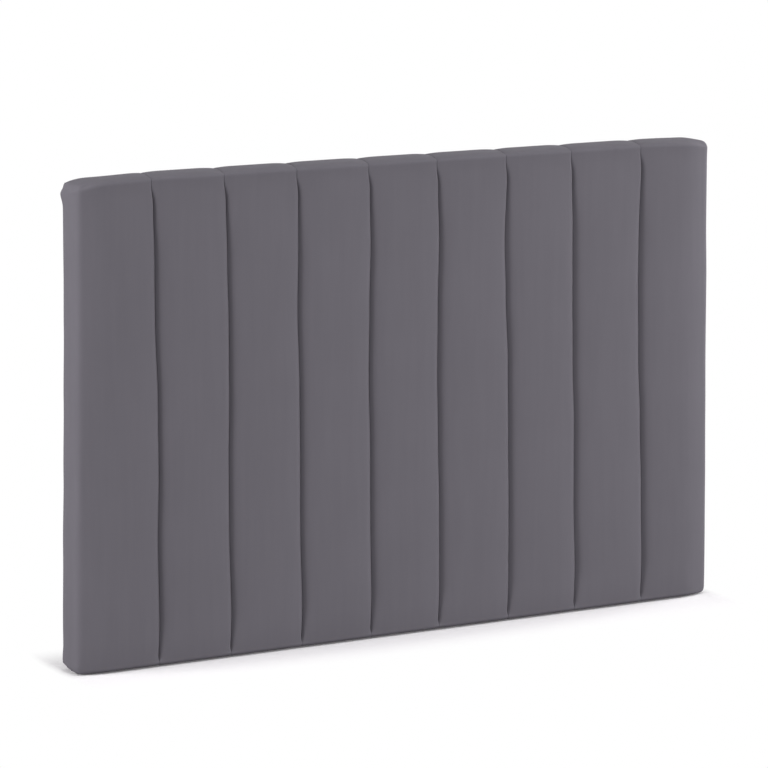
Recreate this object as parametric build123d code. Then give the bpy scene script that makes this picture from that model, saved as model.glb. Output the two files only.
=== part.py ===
from build123d import *
import os

# Slim upholstered headboard: nine padded channels of velvet over foam, on a board and a
# pine frame, closed by a dust cloth at the rear. Millimetres, X to the right as seen from
# the front, the front faces -Y, Z up. The origin is at the middle of the base.

# Padded body as seen from the front
width = 1050.0
height = 700.0
channel_count = 9
seam_shift_shares = (0.08, 0.05, 0.03, 0.02, 0.0, 0.01, -0.01, 0.0)

# Layers, front to rear
fabric = 1.0
foam_depth = 23.0
board_thickness = 4.0
batten_depth = 28.0
cloth_thickness = 0.5
pad_thickness = 2.5

# Shape of the padding
front_crown = 3.0
top_crown = 2.5
seam_round = 9.0
side_round = 18.0
top_front_round = 14.0
bottom_front_round = 7.0
rear_round = 3.0
top_corner_round = 15.0
bottom_corner_round = 12.0
least_round = 0.5
crest_relief = 0.1

# Cover: what is turned in at a seam and folded over behind
seam_allowance = 14.0
top_allowance = 3.0
flange_width = 40.0
soft_gap = 0.3

# Frame and what surrounds it
wadding = 4.0
batten_width = 45.0
block_leg = 55.0
block_depth = 18.0
cloth_inset = 8.0

# Staples: one wire for all, legs by what they go through
staple_wire = 0.9
staple_crown = 10.0
board_staple_leg = 14.0
cover_staple_leg = 9.0
cloth_staple_leg = 8.0
cover_staple_edge = 8.0
cloth_staple_edge = 5.0
cover_staple_shares = (0.25, 0.75)
side_staple_shares = (0.2, 0.35, 0.5, 0.65, 0.8)
cloth_staple_columns = 10
cloth_staple_rows = 6
board_staple_columns = 6
board_staple_rows = 4

# Wood screws of the frame
frame_screw_length = 70.0
frame_screw_radius = 2.0
frame_screw_head = 4.0
frame_screw_spread = 16.0
hole_clearance = 0.1

# Keyhole hangers behind the top rail
hanger_spacing = 700.0
hanger_width = 44.0
hanger_height = 34.0
hanger_thickness = 2.0
hanger_round = 3.0
hanger_edge = 2.0
entry_radius = 6.0
slot_width = 6.0
slot_rise = 13.0
entry_height = 11.0
pocket_depth = 9.0
pocket_margin = 2.0
hanger_screw_length = 16.0
hanger_screw_radius = 1.75
hanger_screw_head = 3.4
hanger_screw_inset = 5.5

# Felt pads behind the bottom rail
pad_radius = 12.0
pad_spacing = 700.0

overrun = 1.0

# Planes of the layers, worked out from the front
depth = (fabric + foam_depth + board_thickness + batten_depth + fabric
         + cloth_thickness + pad_thickness)
front_y = -depth / 2
board_y = front_y + fabric + foam_depth
frame_y = board_y + board_thickness
flange_y = frame_y + batten_depth
cloth_y = flange_y + fabric
back_y = cloth_y + cloth_thickness

# Outline of the frame and the board inside the cover
frame_side = width / 2 - fabric - wadding
frame_bottom = fabric + wadding
seam_top = height - top_crown - top_allowance
frame_top = seam_top - wadding
bottom_rail_top = frame_bottom + batten_width
top_rail_bottom = frame_top - batten_width
stile_inside = frame_side - batten_width
stile_middle = frame_side - batten_width / 2
channel_pitch = width / channel_count


def seam_place(number):
    """X of a seam; numbers 0 and channel_count are the body's own sides."""
    even = channel_pitch * number - width / 2
    if number in (0, channel_count):
        return even
    share = seam_shift_shares[(number - 1) % len(seam_shift_shares)]
    return even + channel_pitch * share


seam_x = [seam_place(number) for number in range(channel_count + 1)]


def block(x, y, z):
    """Box between the two given values of each of X, Y and Z."""
    spans = (x, y, z)
    centre = [(low + high) / 2 for low, high in spans]
    sizes = [high - low for low, high in spans]
    return Pos(*centre) * Box(*sizes)


def eased(radius, inset):
    """Radius of a rounded edge, seen from inside at an inset."""
    return max(radius - inset, least_round)


def rounded(face, corners):
    """Face with some corners rounded, each given as its point and its radius."""
    for point, radius in corners:
        corner = face.vertices().sort_by_distance((*point, 0))[0]
        face = fillet(corner, radius)
    return face


def crowned_face(left, right, flat, edge, crest):
    """Face with a flat base, two sides and a side that swells from edge to crest."""
    middle = (left + right) / 2
    base = Polyline((left, edge), (left, flat), (right, flat), (right, edge))
    crown = ThreePointArc((left, edge), (middle, crest), (right, edge))
    return make_face(base.edges() + crown.edges())


def plan_prism(number, inset):
    """Channel as seen from above: a crowned front and rounded edges beside it."""
    first = number == 0
    last = number == channel_count - 1
    left = seam_x[number] + inset
    right = seam_x[number + 1] - inset
    edge = front_y + front_crown + inset
    rear = cloth_y - inset
    face = crowned_face(left, right, rear, edge, front_y + inset)
    corners = [
        ((left, edge), eased(side_round if first else seam_round, inset)),
        ((right, edge), eased(side_round if last else seam_round, inset)),
    ]
    if first:
        corners.append(((left, rear), eased(rear_round, inset)))
    if last:
        corners.append(((right, rear), eased(rear_round, inset)))
    return extrude(Pos(0, 0, -overrun) * rounded(face, corners), height + 2 * overrun)


def front_prism(number, inset):
    """Channel as seen from the front: a crowned top, and the body's rounded corners."""
    left = seam_x[number] + inset
    right = seam_x[number + 1] - inset
    edge = height - top_crown - inset
    face = crowned_face(left, right, inset, edge, height - inset)
    corners = []
    for outer, x in ((number == 0, left), (number == channel_count - 1, right)):
        if outer:
            corners.append(((x, edge), eased(top_corner_round, inset)))
            corners.append(((x, inset), eased(bottom_corner_round, inset)))
    upright = Pos(0, front_y - overrun, 0) * (Plane.XZ * rounded(face, corners))
    return extrude(upright, depth + 2 * overrun, dir=(0, 1, 0))


def side_prism(number, inset):
    """Channel as seen from the side: soft front edges, tight edges at the rear.

    Its front and top stand a hair outside the crests of the crowns, not tangent to them."""
    front = front_y + inset - crest_relief
    rear = cloth_y - inset
    top = height - inset + crest_relief
    face = make_face(Polyline((front, inset), (rear, inset), (rear, top), (front, top), close=True))
    corners = [
        ((front, top), eased(top_front_round, inset)),
        ((front, inset), eased(bottom_front_round, inset)),
        ((rear, top), eased(rear_round, inset)),
        ((rear, inset), eased(rear_round, inset)),
    ]
    upright = Pos(seam_x[number] - overrun, 0, 0) * (Plane.YZ * rounded(face, corners))
    return extrude(upright, seam_x[number + 1] - seam_x[number] + 2 * overrun)


def channel_form(number, inset):
    """Padded form of one channel over the whole depth, drawn in by an inset."""
    return plan_prism(number, inset) & front_prism(number, inset) & side_prism(number, inset)


def frame_outline(y):
    """Rounded slab of the frame's outline between two values of Y."""
    corner_top = eased(top_corner_round, fabric + wadding)
    corner_bottom = eased(bottom_corner_round, fabric + wadding)
    corners = [(-frame_side, frame_bottom), (frame_side, frame_bottom),
               (frame_side, frame_top), (-frame_side, frame_top)]
    radii = [corner_bottom, corner_bottom, corner_top, corner_top]
    face = rounded(make_face(Polyline(*corners, close=True)), list(zip(corners, radii)))
    upright = Pos(0, y[0], 0) * (Plane.XZ * face)
    return extrude(upright, y[1] - y[0], dir=(0, 1, 0))


# Fasteners

def screw(length, radius, head_radius, grow=0):
    """Countersunk screw along -Z with its head level at zero, and a cross recess."""
    head = head_radius - radius
    tip = radius * 2
    shank_end = tip - length
    body = Pos(0, 0, -head / 2) * Cone(radius + grow, head_radius + grow, head)
    body += Pos(0, 0, shank_end / 2) * Cylinder(radius + grow, -shank_end)
    body += Pos(0, 0, shank_end - tip / 2) * Cone(grow, radius + grow, tip)
    if grow:
        return body
    arm = head_radius
    blade = head_radius / 4
    for size in ((arm, blade), (blade, arm)):
        body -= Box(*size, head)
    return body


def staple(leg, grow=0):
    """Staple with its crown along X, level at zero, and its legs along -Z."""
    half = staple_crown / 2 + grow
    wire = staple_wire + 2 * grow
    thick = wire / 2
    deep = -leg - grow
    bridge = block((-half, half), (-thick, thick), (-staple_wire - grow, 0))
    body = bridge + block((-half, wire - half), (-thick, thick), (deep, 0))
    return body + block((half - wire, half), (-thick, thick), (deep, 0))


def spread(low, high, count):
    """Evenly spaced values from low to high."""
    return [low + (high - low) * n / (count - 1) for n in range(count)]


def cover_staple_places():
    """X, Z and whether the crown stands upright, for the staples of the cover's flanges."""
    top = height - flange_width + cover_staple_edge
    bottom = flange_width - cover_staple_edge
    side = width / 2 - flange_width + cover_staple_edge
    places = []
    for left, right in zip(seam_x, seam_x[1:]):
        for share in cover_staple_shares:
            x = left + (right - left) * share
            places += [(x, top, False), (x, bottom, False)]
    for share in side_staple_shares:
        places += [(-side, height * share, True), (side, height * share, True)]
    return places


def cloth_staple_places():
    """The same for the staples round the dust cloth."""
    inset = cloth_inset + cloth_staple_edge
    side = width / 2 - inset
    places = []
    for x in spread(staple_crown - side, side - staple_crown, cloth_staple_columns):
        places += [(x, height - inset, False), (x, inset, False)]
    for z in spread(bottom_rail_top, top_rail_bottom, cloth_staple_rows):
        places += [(-side, z, True), (side, z, True)]
    return places


def board_staple_places():
    """The same for the staples that hold the front board on the frame."""
    places = []
    for x in spread(-stile_inside, stile_inside, board_staple_columns):
        places += [(x, frame_top - batten_width / 2, False)]
        places += [(x, frame_bottom + batten_width / 2, False)]
    for z in spread(bottom_rail_top, top_rail_bottom, board_staple_rows):
        places += [(-stile_middle, z, True), (stile_middle, z, True)]
    return places


def staples(places, y, turn, leg, grow=0):
    """A staple at each place, its crown level with Y; turn is the tilt about X."""
    level = Rot(turn, 0, 0) * staple(leg, grow)
    upright = Rot(turn, 0, 0) * Rot(0, 0, 90) * staple(leg, grow)
    return [Pos(x, y, z) * (upright if stands else level) for x, z, stands in places]


def board_staples(grow=0):
    return staples(board_staple_places(), board_y, 90, board_staple_leg, grow)


def cover_staples(grow=0):
    return staples(cover_staple_places(), cloth_y, -90, cover_staple_leg, grow)


def cloth_staples(grow=0):
    return staples(cloth_staple_places(), back_y + staple_wire, -90, cloth_staple_leg, grow)


def frame_screws(grow=0):
    """Two screws through each rail into each end of each stile."""
    form = screw(frame_screw_length, frame_screw_radius, frame_screw_head, grow)
    middle = frame_y + batten_depth / 2
    shapes = []
    for stile in (-stile_middle, 0, stile_middle):
        for side in (-1, 1):
            x = stile + side * frame_screw_spread / 2
            shapes.append(Pos(x, middle, frame_top) * form)
            shapes.append(Pos(x, middle, frame_bottom) * Rot(180, 0, 0) * form)
    return shapes


def hanger_screws(x, grow=0):
    """Four screws at the corners of the hanger plate at X."""
    form = Rot(-90, 0, 0) * screw(hanger_screw_length, hanger_screw_radius, hanger_screw_head, grow)
    low = top_rail_bottom + hanger_edge
    across = hanger_width / 2 - hanger_screw_inset
    heights = (low + hanger_screw_inset, low + hanger_height - hanger_screw_inset)
    return [Pos(x + side * across, back_y + hanger_thickness, z) * form
            for side in (-1, 1) for z in heights]


# Hangers and pads

hanger_places = (-hanger_spacing / 2, hanger_spacing / 2)
entry_z = top_rail_bottom + hanger_edge + entry_height


def keyhole(x, y):
    """Round entry with a narrower slot above it, cut through between two values of Y."""
    length = y[1] - y[0]
    middle = (y[0] + y[1]) / 2
    upright = Rot(90, 0, 0)
    entry = Pos(x, middle, entry_z) * upright * Cylinder(entry_radius, length)
    end = Pos(x, middle, entry_z + slot_rise) * upright * Cylinder(slot_width / 2, length)
    slot = block((x - slot_width / 2, x + slot_width / 2), y, (entry_z, entry_z + slot_rise))
    return entry + end + slot


def hanger_pocket(x):
    """Room behind a keyhole for a screw head, through the cloth and cover into the rail."""
    half = entry_radius + pocket_margin
    low = entry_z - half
    high = entry_z + slot_rise + slot_width / 2 + pocket_margin
    return block((x - half, x + half), (flange_y - pocket_depth, back_y + overrun), (low, high))


def hanger_plate(x):
    low = top_rail_bottom + hanger_edge
    half = hanger_width / 2
    plate = block((x - half, x + half), (back_y, back_y + hanger_thickness), (low, low + hanger_height))
    plate = fillet(plate.edges().filter_by(Axis.Y), hanger_round)
    plate -= keyhole(x, (back_y - overrun, back_y + hanger_thickness + overrun))
    return plate - hanger_screws(x, hole_clearance)


def wall_pad(x):
    place = Pos(x, back_y + pad_thickness / 2, frame_bottom + batten_width / 2)
    return place * Rot(90, 0, 0) * Cylinder(pad_radius, pad_thickness)


def rear_cuts():
    """Everything that goes into the flanges, the cloth and the frame from the rear."""
    cuts = cover_staples(hole_clearance) + cloth_staples(hole_clearance)
    for x in hanger_places:
        cuts += hanger_screws(x, hole_clearance)
        cuts.append(hanger_pocket(x))
    return cuts


# Frame

def batten(x, z):
    """Frame member between two values of X and of Z, within the rounded outline."""
    return frame_outline((frame_y, flange_y)) & block(x, (frame_y, flange_y), z)


def frame_members(rear):
    between = (bottom_rail_top, top_rail_bottom)
    members = {
        "frame_top_rail": batten((-frame_side, frame_side), (top_rail_bottom, frame_top)),
        "frame_bottom_rail": batten((-frame_side, frame_side), (frame_bottom, bottom_rail_top)),
        "frame_left_stile": batten((-frame_side, -stile_inside), between),
        "frame_right_stile": batten((stile_inside, frame_side), between),
        "frame_centre_stile": batten((-batten_width / 2, batten_width / 2), between),
    }
    cuts = rear + board_staples(hole_clearance) + frame_screws(hole_clearance)
    return {name: member - cuts for name, member in members.items()}


def corner_block(x_side, z_side):
    """Triangular block glued into an inner corner of the frame."""
    x = x_side * stile_inside
    z = top_rail_bottom if z_side > 0 else bottom_rail_top
    points = [(x, z), (x - x_side * block_leg, z), (x, z - z_side * block_leg)]
    upright = Pos(0, frame_y, 0) * (Plane.XZ * make_face(Polyline(*points, close=True)))
    return extrude(upright, block_depth, dir=(0, 1, 0))


def front_board():
    return frame_outline((board_y, frame_y)) - board_staples(hole_clearance)


def back_cloth(rear):
    side = width / 2 - cloth_inset
    sheet = block((-side, side), (cloth_y, back_y), (cloth_inset, height - cloth_inset))
    return sheet - rear


# Padding and cover

def foam_bar(number):
    form = channel_form(number, fabric + soft_gap)
    return form & block((-width, width), (front_y, board_y), (0, height))


def edge_wadding():
    """Wadding between the frame's edges and the cover, in four strips."""
    zone = block((-width, width), (board_y, flange_y), (0, height))
    ring = [channel_form(number, fabric + soft_gap) & zone for number in range(channel_count)]
    for seam in seam_x[1:-1]:
        across = (seam - 2 * fabric, seam + 2 * fabric)
        inside = (board_y, cloth_y - rear_round)
        ring.append(block(across, inside, (fabric + soft_gap, frame_bottom)))
        ring.append(block(across, inside, (frame_top, seam_top - soft_gap)))
    solid = ring[0]
    solid = solid.fuse(*ring[1:])
    solid = solid - frame_outline((board_y - overrun, flange_y + overrun))
    high = frame_top - top_corner_round
    low = frame_bottom + bottom_corner_round
    ends = (board_y - overrun, flange_y + overrun)
    return {
        "edge_wadding_top": solid & block((-width, width), ends, (high, height)),
        "edge_wadding_bottom": solid & block((-width, width), ends, (0, low)),
        "edge_wadding_left": solid & block((-width, 0), ends, (low, high)),
        "edge_wadding_right": solid & block((0, width), ends, (low, high)),
    }


def cover_strip(number, rear):
    """Fabric of one channel: its front, the turned-in seams and the flanges behind."""
    skin = channel_form(number, 0) - channel_form(number, fabric)
    left = seam_x[number] - overrun
    right = seam_x[number + 1] + overrun
    if number == 0:
        left = flange_width - width / 2
    if number == channel_count - 1:
        right = width / 2 - flange_width
    behind = (flange_y - fabric, cloth_y + overrun)
    skin -= block((left, right), behind, (flange_width, height - flange_width))
    for seam in seam_x[number:number + 2]:
        if abs(seam) < width / 2:
            across = (seam - 2 * fabric, seam + 2 * fabric)
            skin -= block(across, (front_y + seam_allowance, flange_y), (fabric, seam_top))
    reach = hanger_width
    near = [cut for cut in rear if left - reach < cut.center().X < right + reach]
    return skin - near


def all_parts():
    parts = {}
    rear = rear_cuts()
    for number in range(channel_count):
        parts[f"cover_strip_{number + 1}"] = cover_strip(number, rear)
        parts[f"foam_bar_{number + 1}"] = foam_bar(number)
    parts["front_board"] = front_board()
    parts.update(frame_members(rear))
    parts["corner_block_top_left"] = corner_block(-1, 1)
    parts["corner_block_top_right"] = corner_block(1, 1)
    parts["corner_block_bottom_left"] = corner_block(-1, -1)
    parts["corner_block_bottom_right"] = corner_block(1, -1)
    parts.update(edge_wadding())
    parts["back_cloth"] = back_cloth(rear)
    left, right = hanger_places
    parts["hanger_plate_left"] = hanger_plate(left)
    parts["hanger_plate_right"] = hanger_plate(right)
    parts["wall_pad_left"] = wall_pad(-pad_spacing / 2)
    parts["wall_pad_right"] = wall_pad(pad_spacing / 2)
    parts["hanger_screws"] = Compound(hanger_screws(left) + hanger_screws(right))
    parts["frame_screws"] = Compound(frame_screws())
    parts["board_staples"] = Compound(board_staples())
    parts["cover_staples"] = Compound(cover_staples())
    parts["back_cloth_staples"] = Compound(cloth_staples())
    return parts


os.makedirs("parts", exist_ok=True)
for name, shape in all_parts().items():
    export_step(shape, f"parts/{name}.step")
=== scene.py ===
"""Slim headboard with nine upright padded channels in smooth grey velvet.

Every piece is modelled in metres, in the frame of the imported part: X to the right as seen
from the front, the padded front faces -Y, Z up, and the base stands on zero.
"""

import math

import bmesh
import bpy
from bpy.props import FloatProperty, FloatVectorProperty, IntProperty, PointerProperty
from mathutils import Matrix, Vector, noise


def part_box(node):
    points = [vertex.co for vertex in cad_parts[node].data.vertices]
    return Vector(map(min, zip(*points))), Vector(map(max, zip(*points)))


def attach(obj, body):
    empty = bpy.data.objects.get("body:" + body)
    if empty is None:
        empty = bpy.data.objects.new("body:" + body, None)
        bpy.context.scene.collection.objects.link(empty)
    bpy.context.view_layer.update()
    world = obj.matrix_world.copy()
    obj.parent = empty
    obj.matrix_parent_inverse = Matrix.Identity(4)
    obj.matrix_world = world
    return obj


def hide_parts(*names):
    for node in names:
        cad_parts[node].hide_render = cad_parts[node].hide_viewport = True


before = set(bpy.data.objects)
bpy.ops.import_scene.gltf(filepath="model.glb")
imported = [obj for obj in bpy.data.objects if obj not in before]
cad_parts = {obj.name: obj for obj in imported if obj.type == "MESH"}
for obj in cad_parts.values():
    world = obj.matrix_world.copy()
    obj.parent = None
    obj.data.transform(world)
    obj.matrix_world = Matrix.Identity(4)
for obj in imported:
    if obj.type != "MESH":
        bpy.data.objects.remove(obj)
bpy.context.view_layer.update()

bl_info = {
    "name": "Channelled headboard",
    "version": (1, 0, 0),
    "blender": (4, 5, 0),
    "location": "View3D > Sidebar > Headboard",
    "description": "Padded velvet channels, dust cloth, fittings and studio of a headboard",
    "category": "Object",
}

mm = 0.001
body_name = "root"

# The padded body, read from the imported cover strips
channel_count = sum(name.startswith("cover_strip_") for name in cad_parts)
strip_boxes = [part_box(f"cover_strip_{number + 1}") for number in range(channel_count)]
edge_x = [low.x for low, high in strip_boxes] + [strip_boxes[-1][1].x]
body_low = Vector((edge_x[0], strip_boxes[0][0].y, strip_boxes[0][0].z))
body_high = Vector((edge_x[-1], strip_boxes[0][1].y, strip_boxes[0][1].z))
board_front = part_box("front_board")[0].y
rail_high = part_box("frame_top_rail")[1]
rail_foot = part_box("frame_bottom_rail")[0].z
cloth_low, cloth_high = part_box("back_cloth")
plate_boxes = [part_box("hanger_plate_left"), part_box("hanger_plate_right")]
stile_boxes = [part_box(f"frame_{side}_stile") for side in ("left", "centre", "right")]

# The two windows between the stiles, which the dust cloth spans
window_foot = stile_boxes[0][0].z
window_head = stile_boxes[0][1].z
window_spans = [(Vector((left_high.x, 0, window_foot)), Vector((right_low.x, 0, window_head)))
                for (_, left_high), (right_low, _) in zip(stile_boxes, stile_boxes[1:])]

# The openings for a screw head under the keyholes, and how far round one the flange is cut
pocket_half_width = 8 * mm
pocket_above_plate_foot = 3 * mm
pocket_height = 26 * mm
pockets = [
    (Vector(((low.x + high.x) / 2 - pocket_half_width, 0, low.z + pocket_above_plate_foot)),
     Vector(((low.x + high.x) / 2 + pocket_half_width, 0,
             low.z + pocket_above_plate_foot + pocket_height)))
    for low, high in plate_boxes
]
pocket_reach = 40 * mm
pocket_reach_below = 10 * mm

# Spacing of the meshes: finer within a margin of an edge, and crowded towards the seams
fine_step = 2.5 * mm
row_margin = 20 * mm
layer_step = 6 * mm
layer_margin = 15 * mm
column_crowding = 2.0
cloth_fine_step = 3 * mm
cloth_margin = 18 * mm
wadding_layers = 8
cut_tolerance = 1e-7

# Faces that belong to the flange behind: how near the body's rear, and how far turned to it
flange_reach = 2 * mm
flange_facing = 0.8

# Width of the slope beside the dust cloth's hem, and how soon a corner fold grows deep
hem_slope = 2 * mm
fold_steepness = 6

# Rear rounding along the ends, in times that behind, and reach of the top's crown, in times
# the top's rounding
end_rear_share = 1.5
crown_share = 3

# The covers' fabric as a simulated cloth
fabric_quality = 5
fabric_mass = 0.3
shear_softness = 3

# Floor of the studio
floor_half_size = 8.0
floor_gap = 0.3 * mm
floor_white = "#FBF9FB"

# Lamps: place, width and height in metres
lamps = {
    "left": ((-3.0, 0.1, 1.2), (2.0, 2.0)),
    "right": ((3.0, -0.5, 1.2), (2.8, 2.0)),
    "front": ((0.0, -5.0, 1.0), (3.0, 2.0)),
    "top": ((0.0, -0.5, 6.0), (3.0, 2.4)),
}

# Sideways wander of both ends and each sewn seam, in millimetres, at these shares of the height
wander_height_shares = (0.08, 0.25, 0.40, 0.55, 0.70, 0.82, 0.95)
seam_wander = (
    (-6.5, -4.5, -2, 0, 2, 3, 3.5),
    (-2, -3, -0.5, -0.5, -3.5, -3.5, -6.5),
    (-0.5, -3, -3, -1, -1, -2.5, -6),
    (0, -2.5, -2, -2.5, -5, -3.5, -5),
    (-1, -2.5, -2.5, -4.5, -3, -1, -4),
    (-1, -1, -3, -4.5, -3.5, -1.5, -5.5),
    (0, 0, -1, -2, -6, -8.5, -7),
    (2, -1, -1, -4, -5, -5.5, -9.5),
    (3, 1, -2, -6, -7.5, -7, -6),
    (3.5, 3, 2, 1, 1, -0.5, -0.5),
)


# Colours and nodes

def linear(code):
    """Linear RGB of an sRGB colour written as a hex code."""
    parts = [int(code[place:place + 2], 16) / 255 for place in (1, 3, 5)]
    return tuple(part / 12.92 if part <= 0.04045 else ((part + 0.055) / 1.055) ** 2.4
                 for part in parts)


def rgba(colour):
    return (*colour[:3], 1)


def add_node(tree, kind, values=None, links=None, **fields):
    """Adds a node with its fields, its input values and the sockets linked to its inputs."""
    added = tree.nodes.new(kind)
    for name, value in fields.items():
        setattr(added, name, value)
    for name, value in (values or {}).items():
        added.inputs[name].default_value = value
    for name, socket in (links or {}).items():
        tree.links.new(socket, added.inputs[name])
    return added


def new_material(name):
    """An empty node material and its tree."""
    material = bpy.data.materials.new(name)
    material.use_nodes = True
    material.node_tree.nodes.clear()
    return material, material.node_tree


def finish_material(tree, shader):
    add_node(tree, "ShaderNodeOutputMaterial", links={"Surface": shader.outputs[0]})


def surface(tree, values, links):
    """Ends a material's tree with one principled surface."""
    finish_material(tree, add_node(tree, "ShaderNodeBsdfPrincipled", values, links))


def place_vector(tree, scale):
    """Object coordinates stretched by a scale along X, Y and Z."""
    place = add_node(tree, "ShaderNodeTexCoord")
    return add_node(tree, "ShaderNodeMapping", {"Scale": scale},
                    {"Vector": place.outputs["Object"]}).outputs["Vector"]


def grains(tree, size, stretch=(1, 1, 1), detail=2.0, roughness=0.5):
    """Noise whose lumps are about one size in metres, drawn out along an axis by a stretch."""
    scale = [1 / (size * part) for part in stretch]
    vector = place_vector(tree, scale)
    return add_node(tree, "ShaderNodeTexNoise",
                    {"Scale": 1.0, "Detail": detail, "Roughness": roughness},
                    {"Vector": vector}).outputs["Fac"]


def tinted(tree, fac, dark, light):
    """Colour between two, by a factor."""
    mixed = add_node(tree, "ShaderNodeMix", {"A": rgba(dark), "B": rgba(light)},
                     {"Factor": fac}, data_type="RGBA")
    return mixed.outputs["Result"]


def blended(tree, first, second, share):
    """Factor between two others."""
    return add_node(tree, "ShaderNodeMix", {"Factor": share}, {"A": first, "B": second},
                    data_type="FLOAT").outputs["Result"]


def ranged(tree, fac, low, high):
    """A factor brought from zero to one into another range."""
    return add_node(tree, "ShaderNodeMapRange", {"To Min": low, "To Max": high},
                    {"Value": fac}).outputs["Result"]


def bumped(tree, height, distance, strength):
    return add_node(tree, "ShaderNodeBump", {"Distance": distance, "Strength": strength},
                    {"Height": height}).outputs["Normal"]


def shade(colour, factor):
    return tuple(part * factor for part in colour[:3])


# Materials

def grained(name, grain, colours, relief, values, gloss=None):
    """Material whose colour, relief and gloss all follow one grain.

    The grain is its size, stretch, detail and roughness, the relief its depth and strength."""
    material, tree = new_material(name)
    fac = grains(tree, *grain)
    links = {"Base Color": tinted(tree, fac, *colours), "Normal": bumped(tree, fac, *relief)}
    if gloss:
        links["Roughness"] = ranged(tree, fac, *gloss)
    surface(tree, values, links)
    return material


def velvet(settings):
    """Polyester velvet, knitted and sheared to a short dense pile.

    The pile scatters light at grazing angles, so faces that turn away look paler."""
    material, tree = new_material("Polyester velvet, sheared pile")
    base = settings.velvet_colour
    cloudy = grains(tree, 90 * mm, detail=3)
    streak = grains(tree, 9 * mm, (1, 1, 14), detail=2)
    fine = grains(tree, 1.6 * mm, (1, 1, 1.6), detail=2)
    mixed = blended(tree, cloudy, streak, 0.5)
    colour = tinted(tree, ranged(tree, mixed, 0.0, 1.0), shade(base, 0.91), shade(base, 1.09))
    surface(tree, {"Roughness": settings.velvet_roughness, "IOR": 1.45,
                   "Specular IOR Level": 0.25, "Sheen Weight": settings.sheen,
                   "Sheen Roughness": settings.sheen_roughness,
                   "Sheen Tint": rgba(linear("#F4F1F8"))},
            {"Base Color": colour, "Normal": bumped(tree, fine, 0.12 * mm, 0.35)})
    return material


def wadding_material():
    """Polyester wadding, carded: white, matt and fibrous."""
    return grained("Polyester wadding, carded", (2.5 * mm, (3, 1, 3), 5, 0.7),
                   (linear("#D9D7D0"), linear("#F2F1EC")), (0.8 * mm, 0.8),
                   {"Roughness": 0.95, "IOR": 1.45, "Sheen Weight": 0.3})


def dust_cloth_material(settings):
    """Polypropylene dust cloth, spun-bonded: thin, black, with a dull pointed emboss."""
    material, tree = new_material("Polypropylene, spun-bonded")
    vector = place_vector(tree, [1 / (2.2 * mm)] * 3)
    dots = add_node(tree, "ShaderNodeTexVoronoi", {"Scale": 1.0, "Randomness": 0.25},
                    {"Vector": vector}).outputs["Distance"]
    fibres = grains(tree, 1.2 * mm, detail=4, roughness=0.7)
    base = settings.cloth_colour
    colour = tinted(tree, fibres, shade(base, 0.75), shade(base, 1.5))
    height = blended(tree, dots, fibres, 0.4)
    surface(tree, {"IOR": 1.49, "Specular IOR Level": 0.3},
            {"Base Color": colour, "Roughness": ranged(tree, dots, 0.62, 0.85),
             "Normal": bumped(tree, height, 0.15 * mm, 0.7)})
    return material


def felt_material():
    """Wool felt, pressed: matted fibres without a weave."""
    return grained("Wool felt, pressed", (0.9 * mm, (1, 1, 1), 6, 0.75),
                   (linear("#2B2B2C"), linear("#4E4E50")), (0.3 * mm, 0.8),
                   {"Roughness": 0.95, "IOR": 1.45, "Sheen Weight": 0.4})


def pine(name, along):
    """Pine, planed and left bare: pale early wood with darker late wood along the grain."""
    material, tree = new_material(name)
    ring_width = 5 * mm
    stretch = [25 if axis == along else 1 for axis in range(3)]
    rings = grains(tree, ring_width, stretch, detail=3)
    bands = add_node(tree, "ShaderNodeTexWave", {"Scale": 0.35, "Distortion": 3.0, "Detail": 2.0},
                     {"Vector": place_vector(tree, [1 / (ring_width * part) for part in stretch])},
                     wave_type="BANDS", bands_direction="DIAGONAL").outputs["Fac"]
    mixed = blended(tree, bands, rings, 0.45)
    colour = tinted(tree, mixed, linear("#C89A62"), linear("#E6C898"))
    surface(tree, {"IOR": 1.5, "Specular IOR Level": 0.4},
            {"Base Color": colour, "Roughness": ranged(tree, rings, 0.5, 0.7),
             "Normal": bumped(tree, mixed, 0.15 * mm, 0.4)})
    return material


def hardboard():
    """Hardboard, hot-pressed from wood fibre: brown, smooth and faintly flecked."""
    return grained("Hardboard, hot-pressed", (2 * mm, (1, 1, 1), 6, 0.7),
                   (linear("#6E4B2C"), linear("#8D6840")), (0.05 * mm, 0.4), {"IOR": 1.5},
                   gloss=(0.45, 0.65))


def zinc(name, code, spangle):
    """Steel with a bright zinc coat: a bluish metal, its gloss broken by fine handling marks."""
    colours = [shade(linear(code), part) for part in (0.88, 1.06)]
    return grained(name, (spangle, (1, 1, 1), 4, 0.6), colours, (0.02 * mm, 0.3),
                   {"Metallic": 1.0}, gloss=(0.25, 0.45))


def seen_rays(tree):
    """One for the rays that show a surface to the eye, and zero for those that light others."""
    rays = add_node(tree, "ShaderNodeLightPath").outputs
    seen = rays["Is Camera Ray"]
    for name in ("Is Glossy Ray", "Is Transmission Ray"):
        seen = add_node(tree, "ShaderNodeMath", links={0: seen, 1: rays[name]},
                        operation="MAXIMUM").outputs[0]
    return seen


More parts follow.
